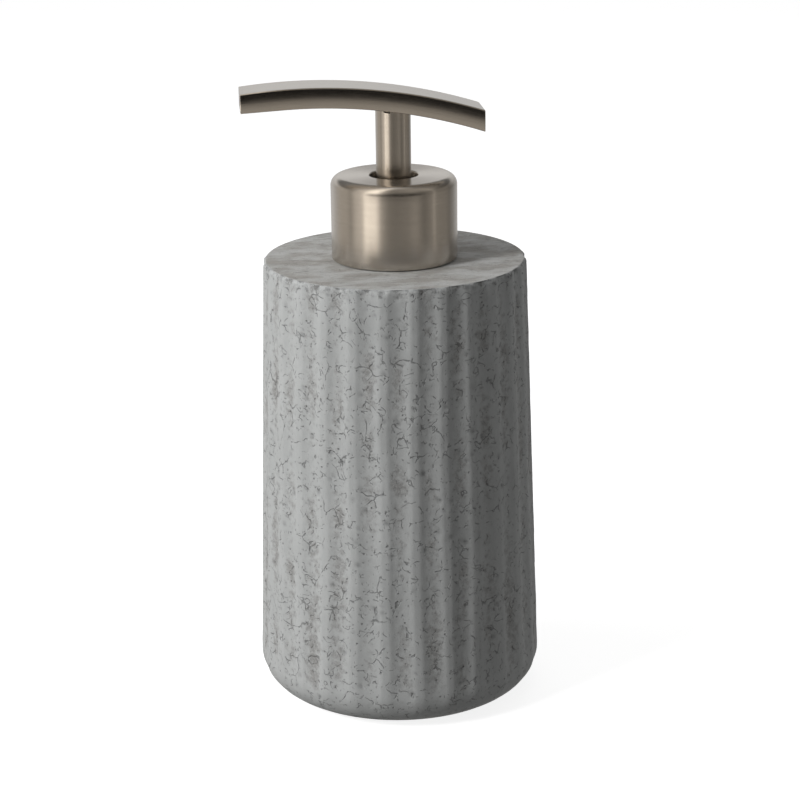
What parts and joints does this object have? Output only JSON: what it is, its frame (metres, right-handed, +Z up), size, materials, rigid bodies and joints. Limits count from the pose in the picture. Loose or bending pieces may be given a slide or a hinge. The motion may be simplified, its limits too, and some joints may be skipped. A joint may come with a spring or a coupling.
{
  "type": "soap pump dispenser",
  "caption": "Refillable soap pump dispenser with a fluted cement body, a brushed steel collar and an arched bar that is both lever and spout.",
  "frame": {"origin": "centre of the foot pad's underside, on the surface that the dispenser stands on", "axes": "+Z up along the pump's axis; the spout points along -X and the lever's tail along +X"},
  "size_m": [0.0802, 0.079, 0.1719],
  "materials": {
    "cement": "cast, matt, fine pits and hairline cracks",
    "brushed_steel": "brushed",
    "bottle_plastic": "matt",
    "pump_plastic": "satin",
    "tube_plastic": "satin",
    "seal_plastic": "satin",
    "dark_plastic": "satin",
    "nozzle_plastic": "satin",
    "foot_rubber": "matt",
    "gasket": "matt",
    "spring_wire": "drawn wire",
    "ball_steel": "polished"
  },
  "bodies": {
    "bottle": {"concrete_body": "cement", "inner_bottle": "bottle_plastic", "foot_pad": "foot_rubber"},
    "pump_engine": {"pump_housing": "pump_plastic", "neck_gasket": "gasket", "guide_cup": "dark_plastic", "return_spring": "spring_wire", "ball_cage": "pump_plastic", "dip_tube": "tube_plastic"},
    "inlet_valve": {"inlet_ball": "ball_steel"},
    "closure": {"closure_cap": "dark_plastic", "collar_shell": "brushed_steel"},
    "piston": {"piston_rod": "pump_plastic", "piston_seal": "seal_plastic", "piston_retainer": "pump_plastic"},
    "outlet_valve": {"outlet_ball": "ball_steel"},
    "head": {"stem_tube": "brushed_steel", "rod_socket": "pump_plastic", "handle_bar": "brushed_steel", "spout_end_cap": "brushed_steel", "rear_end_cap": "brushed_steel", "soap_channel": "pump_plastic", "nozzle_insert": "nozzle_plastic"}
  },
  "joints": [
    {"name": "pump_lift", "type": "slide", "parent": "bottle", "child": "pump_engine", "axis": [0, 0, 1], "range_m": [0, 0.00424]},
    {"name": "closure_turn", "type": "hinge", "parent": "pump_engine", "child": "closure", "pos_m": [0, 0, 0.13], "axis": [0, 0, 1], "range_deg": [0, 360]},
    {"name": "pump_stroke", "type": "slide", "parent": "pump_engine", "child": "piston", "axis": [0, 0, -1], "range_m": [0, 0.012], "stiffness_N_per_m": 600, "springref_m": -0.008, "deforming": ["return_spring"]},
    {"name": "head_swivel", "type": "hinge", "parent": "piston", "child": "head", "pos_m": [0, 0, 0.15], "axis": [0, 0, 1], "continuous": true},
    {"name": "inlet_ball_lift", "type": "slide", "parent": "pump_engine", "child": "inlet_valve", "axis": [0, 0, 1], "range_m": [0, 0.0015]},
    {"name": "outlet_ball_lift", "type": "slide", "parent": "piston", "child": "outlet_valve", "axis": [0, 0, 1], "range_m": [0, 0.0015]}
  ],
  "couplings": [
    {"joint": "pump_lift", "follows": "closure_turn", "m_per_rad": 0.00067376}
  ]
}
